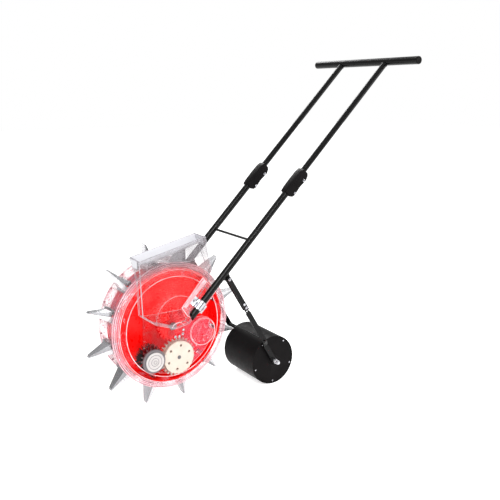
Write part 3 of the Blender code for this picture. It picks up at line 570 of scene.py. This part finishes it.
# ---- drum ---------------------------------------------------------------------------------
def drum_details():
    """Ring beads on the drum's steps and rims, bright lines that paint in the highlights there, and the lugs and
    screws round each mouth.
    """
    near = [(0.1512, -0.0602, 0.0011), (0.1695, -0.0554, 0.0009), (0.1735, -0.0536, 0.0006)]
    near += [(0.1795, -0.0515, 0.0005), (0.184, -0.0503, 0.0008), (0.1893, -0.0478, 0.0009)]
    far = [(0.1893, -0.0402, 0.0008), (0.1880, 0.0442, 0.0008), (0.1880, 0.0516, 0.0009)]
    far += [(0.1772, -0.0002, 0.0006), (0.150, 0.0520, 0.0006)]
    # The beads are painted highlights: bright pink lines where the steps and rims catch the light.
    for name, material, rings in (("drum_ring_highlights", "edge_pink", near), ("drum_rim_highlights", "rim_pink", far)):
        beads = Shapes()
        for radius, y, thickness in rings:
            beads.ring(AXLE + Vector((0, y, 0)), ACROSS, radius, thickness, 96)
        beads.finished(name, "drum", "clear_plastic", material)

    lugs, screws = Shapes(), Shapes()
    for index in range(MOUTHS):
        turn = mouth_frame(index)
        for across in (-0.0235, 0.0215):
            lugs.box((0.1768, -0.0402, across), (0.187, 0.0442, across + 0.002), turn)
        for y in (-0.034, 0.036):
            lugs.box((0.1768, y, -0.0215), (0.184, y + 0.002, 0.0215), turn)
        outward = by_mouth(index, 1, 0, 0) - AXLE
        for y, across in ((-0.0225, -0.006), (0.0225, -0.006), (-0.0225, 0.0165), (0.0225, 0.0165)):
            screws.screw(by_mouth(index, FOOT_FACE_R, y, across), outward, 0.0021, 0.0018)
        for across in (-0.026, 0.026):
            screws.screw(by_mouth(index, 0.181, -0.0495, across), -ACROSS, 0.0023, 0.0016)
            screws.screw(by_mouth(index, 0.181, 0.0519, across), ACROSS, 0.0023, 0.0016)
    lugs.finished("rim_lugs", "drum", "clear_plastic", "bracket_clear", edge=0.0005)
    screws.finished("rim_screws", "drum", "chrome", "chrome")


def flap_springs():
    """A small torsion spring round each flap's pin, with its leg on the mouth."""
    x, z = FLAP_PIN
    coil_r, first_y, length, wire_r = 0.0034, -0.0305, 0.0035, 0.0006
    turns, steps = 5, 60
    coils = []
    for i in range(steps + 1):
        angle = 2 * math.pi * turns * i / steps
        y = first_y + length * i / steps
        coils.append((x + coil_r * math.cos(angle), y, z + coil_r * math.sin(angle)))
    leg = [(x - 0.001, first_y, z + 0.016), (x + 0.001, first_y, z + 0.003)]
    for index in range(MOUTHS):
        turn = mouth_frame(index)
        points = [turn @ Vector(point) for point in leg + coils]
        spring = Shapes().tube(points, wire_r, 5)
        spring.finished(f"flap_spring_{index + 1:02d}", "drum", "dark_steel", "dark_steel")


# ---- seed feed ----------------------------------------------------------------------------
def seed_wheel_details():
    """The screw in the middle of the seed disc, and the bead round its rim."""
    screw = Shapes().hexagon(SEED + Vector((0, SEED_FACE_Y, 0)), -ACROSS, 0.0045, 0.003)
    screw.finished("seed_roller_screw", "seed_roller", "dark_steel", "dark_steel")
    bead = Shapes().ring(SEED + Vector((0, SEED_FACE_Y + 0.0001, 0)), ACROSS, 0.046, 0.0006, 64)
    bead.finished("seed_roller_bead", "seed_roller", "cream_plastic", "cream")


def brush_cap():
    """The brush wheel's white cap, stepped in rings, with a dark line in each step."""
    face = BRUSH + Vector((0, BRUSH_FACE_Y, 0))
    profile = [(0.0290, 0), (0.0290, 0.0016), (0.0268, 0.0026), (0.0245, 0.0026)]
    profile += [(0.0235, 0.0016), (0.0190, 0.0016), (0.0182, 0.0026), (0.0155, 0.0026)]
    profile += [(0.0148, 0.0016), (0.0085, 0.0016), (0.0080, 0.0030), (0.0022, 0.0034)]
    profile += [(0.0018, 0.0022), (0.0001, 0.0022)]
    Shapes().lathe(profile, face, -ACROSS, 40).finished("brush_cap", "brush_wheel", "brush_grey", "white")
    lines = Shapes()
    for radius, height in ((0.0285, 0.0012), (0.0212, 0.0018), (0.0118, 0.0018), (0.0050, 0.0034)):
        lines.ring(face - height * ACROSS, ACROSS, radius, 0.0007, 40)
    lines.finished("brush_cap_rings", "brush_wheel", "brush_grey", "dark_steel")


def bristles():
    """The brush behind the cap: bristles set round a short core, none quite straight."""
    count, core_r, bristle_r = 420, 0.011, 0.0007
    chance = random.Random(7)
    core = [(core_r, 0), (core_r, 0.026), (core_r - 0.002, 0.027)]
    brush = Shapes().lathe(core, BRUSH + Vector((0, -0.0415, 0)), ACROSS, 20)
    for i in range(count):
        angle, lean = 2 * math.pi * i / count, chance.uniform(-0.12, 0.12)
        y, reach = chance.uniform(-0.0405, -0.018), chance.uniform(0.038, 0.0425)
        foot = core_r - 0.001
        root = BRUSH + Vector((foot * math.cos(angle), y, foot * math.sin(angle)))
        tip = BRUSH + Vector((reach * math.cos(angle + lean), y, reach * math.sin(angle + lean)))
        brush.tube((root, tip), bristle_r, 3)
    brush.finished("bristles", "brush_wheel", "brush_grey", "bristle")


def plate_rivets():
    """Four rivets above the seed disc, and the small studs down the plate's front edge."""
    face = AXLE + Vector((0, PLATE_FACE_Y - 0.0001, 0))
    rivets = Shapes()
    for x, z in ((0.009, -0.035), (0.022, -0.036), (0.034, -0.030), (0.036, -0.018)):
        rivets.screw(face + Vector((x, 0, z)), -ACROSS, 0.0030, 0.003)
    for z in (0.012, -0.008, -0.030, -0.052, -0.070):
        rivets.screw(face + Vector((-0.0935, 0, z)), -ACROSS, 0.0009, 0.0012)
    rivets.finished("plate_rivets", "frame", "chrome", "chrome")


def clear_edges():
    """Beads along the edges of the clear mouldings, which show as lines: painted highlight and shade lines where
    the edges catch and bend the light.
    """
    window_reach, wheel_reach = 0.028, 0.045

    def outside_window(first, second):
        return max((first - WINDOW).length, (second - WINDOW).length) > window_reach

    def clear_of(wheel, point):
        return math.hypot(point.x - wheel.x, point.z - wheel.z) >= wheel_reach

    def on_plate_face(first, second):
        on_face = max(first.y, second.y) < PLATE_FACE_Y + 0.001
        clear_of_wheels = clear_of(SEED, first) and clear_of(BRUSH, first)
        return on_face and outside_window(first, second) and clear_of_wheels

    # Each bead is a painted edge line, not a part of the moulding.
    plate = Shapes().edges("metering_plate", 0.0005, 40, on_plate_face)
    plate.edges("discharge_cover", 0.0007, 40, lambda a, b: max(a.y, b.y) < PLATE_FACE_Y - 0.0045)
    plate.ring(AXLE + Vector((0, -0.0889, 0)), ACROSS, 0.021, 0.0008, 24, (20, 160))
    plate.finished("plate_edges", "frame", "pink_plastic", "edge_pink")
    hopper = Shapes().edges("hopper", 0.0008, 24, outside_window)
    hollow = AXLE + Vector((0.0, HOPPER_FACE_Y - 0.0002, 0.030))
    hopper.ring(hollow, ACROSS, 0.070, 0.0007, 40, (35, 186))
    hopper.finished("hopper_edges", "frame", "clear_plastic", "edge_grey")
    brackets = Shapes()
    for side in SIDES:
        brackets.edges(f"{side}_bracket", 0.0008, 24)
    brackets.finished("bracket_edges", "frame", "clear_plastic", "edge_pink")


# ---- handle and arms ----------------------------------------------------------------------
def handle_details():
    """Bolts of the couplers and clamps, the cross bar's and grip's welds, and the grip's caps."""
    bolts, caps, welds, joints = Shapes(), Shapes(), Shapes(), Shapes()
    for sign in SIDES.values():
        y = sign * HANDLE_Y
        outward = Vector((0, sign, 0))
        for face, way in ((0.0133, 1), (-0.0133, -1)):
            at = on_handle(COUPLER_AT + 0.024, 0.0157, y + sign * face)
            bolts.hexagon(at, outward * way, 0.0034, 0.0030)
        for behind in (-0.0205, 0.0205):
            at = on_handle(CLAMP_AT, behind, sign * (BRACKET_FACE_Y + 0.0023))
            bolts.hexagon(at, outward, 0.0048, 0.0044)
        tube_side = on_handle(CROSS_BAR_AT, y=sign * (HANDLE_Y - LOWER_R))
        welds.ring(tube_side, ACROSS, CROSS_BAR_R + 0.0001, 0.0011, 20)
        joints.ring(on_handle(GRIP_AT - GRIP_R - 0.0004, y=y), ALONG_HANDLE, UPPER_R, 0.0013, 28)
        plug, rim = GRIP_BORE_R - GAP, GRIP_R - 0.0003
        cap = [(plug, -0.004), (plug, 0), (rim, 0.0), (rim, 0.0006)]
        cap += [(rim - 0.001, 0.0016), (0.0001, 0.0020)]
        caps.lathe(cap, on_handle(GRIP_AT, y=sign * (GRIP_HALF + 0.0002)), outward, 28)
    bolts.finished("handle_bolts", "frame", "chrome", "chrome")
    welds.finished("cross_bar_welds", "frame", "black_paint", "black_paint")
    joints.finished("grip_welds", "upper_handle", "black_paint", "black_paint")
    caps.finished("grip_caps", "upper_handle", "black_plastic", "black_plastic")


def arm_details():
    """Bolts of the arms and their pivots, and the scraper's nut on the far arm."""
    bolts, nuts = Shapes(), Shapes()
    for sign in SIDES.values():
        outward = Vector((0, sign, 0))
        y = sign * HANDLE_Y
        bolts.hexagon(on_arm(ARM_SCREW_AT + 0.0155, 0.001, y + sign * 0.0072), outward, 0.0032, 0.0030)
        bolts.hexagon(on_arm(0.0, 0.0, y + sign * 0.0097), outward, 0.0036, 0.0030)
    nuts.hexagon(on_arm(SCRAPER_AT, 0.0, HANDLE_Y + 0.0028), ACROSS, 0.0046, 0.0030)
    bolts.finished("arm_bolts", "arm_upper", "chrome", "chrome")
    nuts.finished("scraper_nuts", "arm_lower", "steel", "chrome")


def roller_details():
    """Five screws in each end cap of the roller, and the nuts of its axle."""
    count, first_angle, circle_r = 5, 54.35, 0.070
    screws, nuts = Shapes(), Shapes()
    for sign in SIDES.values():
        outward = Vector((0, sign, 0))
        for index in range(count):
            angle = math.radians(first_angle + 360 * index / count)
            around = circle_r * Vector((math.cos(angle), 0, math.sin(angle)))
            screws.screw(ROLLER + around + (ROLLER_HALF - 0.0004) * outward, outward, 0.0019, 0.0016)
        nuts.hexagon(ROLLER + AXLE_NUT_Y * outward, outward, 0.0050, 0.004)
    screws.finished("roller_cap_screws", "firming_roller", "chrome", "chrome")
    nuts.finished("roller_axle_nuts", "arm_lower", "steel", "chrome")


# ---- the whole machine --------------------------------------------------------------------
FINISH_OF_SLOT = {
    "clear_plastic": "drum_clear",
    "pink_plastic": "plate_clear",
    "red_plastic": "red",
    "black_paint": "black_paint",
    "black_plastic": "black_plastic",
    "cream_plastic": "cream",
    "brush_grey": "grey",
    "steel": "steel",
    "dark_steel": "dark_steel",
    "chrome": "chrome",
}
FINISH_OF_NODE = {
    "axle": "dark_steel",
    "hopper": "hopper_clear",
    "left_bracket": "bracket_clear",
    "right_bracket": "bracket_clear",
    "discharge_cover": "cover_clear",
}
FINISH_OF_NODE.update({f"flap_{index + 1:02d}": "flap_steel" for index in range(MOUTHS)})
EDGE_OF_NODE = {"hopper": 0.0, "hub_gear": 0.0, "drum_dish": 0.001}

camera()
studio()
for node in sorted(frame["nodes"]):
    finish = FINISH_OF_NODE.get(node) or FINISH_OF_SLOT[SLOT_OF[node]]
    dressed(node, finish, EDGE_OF_NODE.get(node, 0.0005))
drum_details()
flap_springs()
seed_wheel_details()
brush_cap()
bristles()
plate_rivets()
clear_edges()
handle_details()
arm_details()
roller_details()
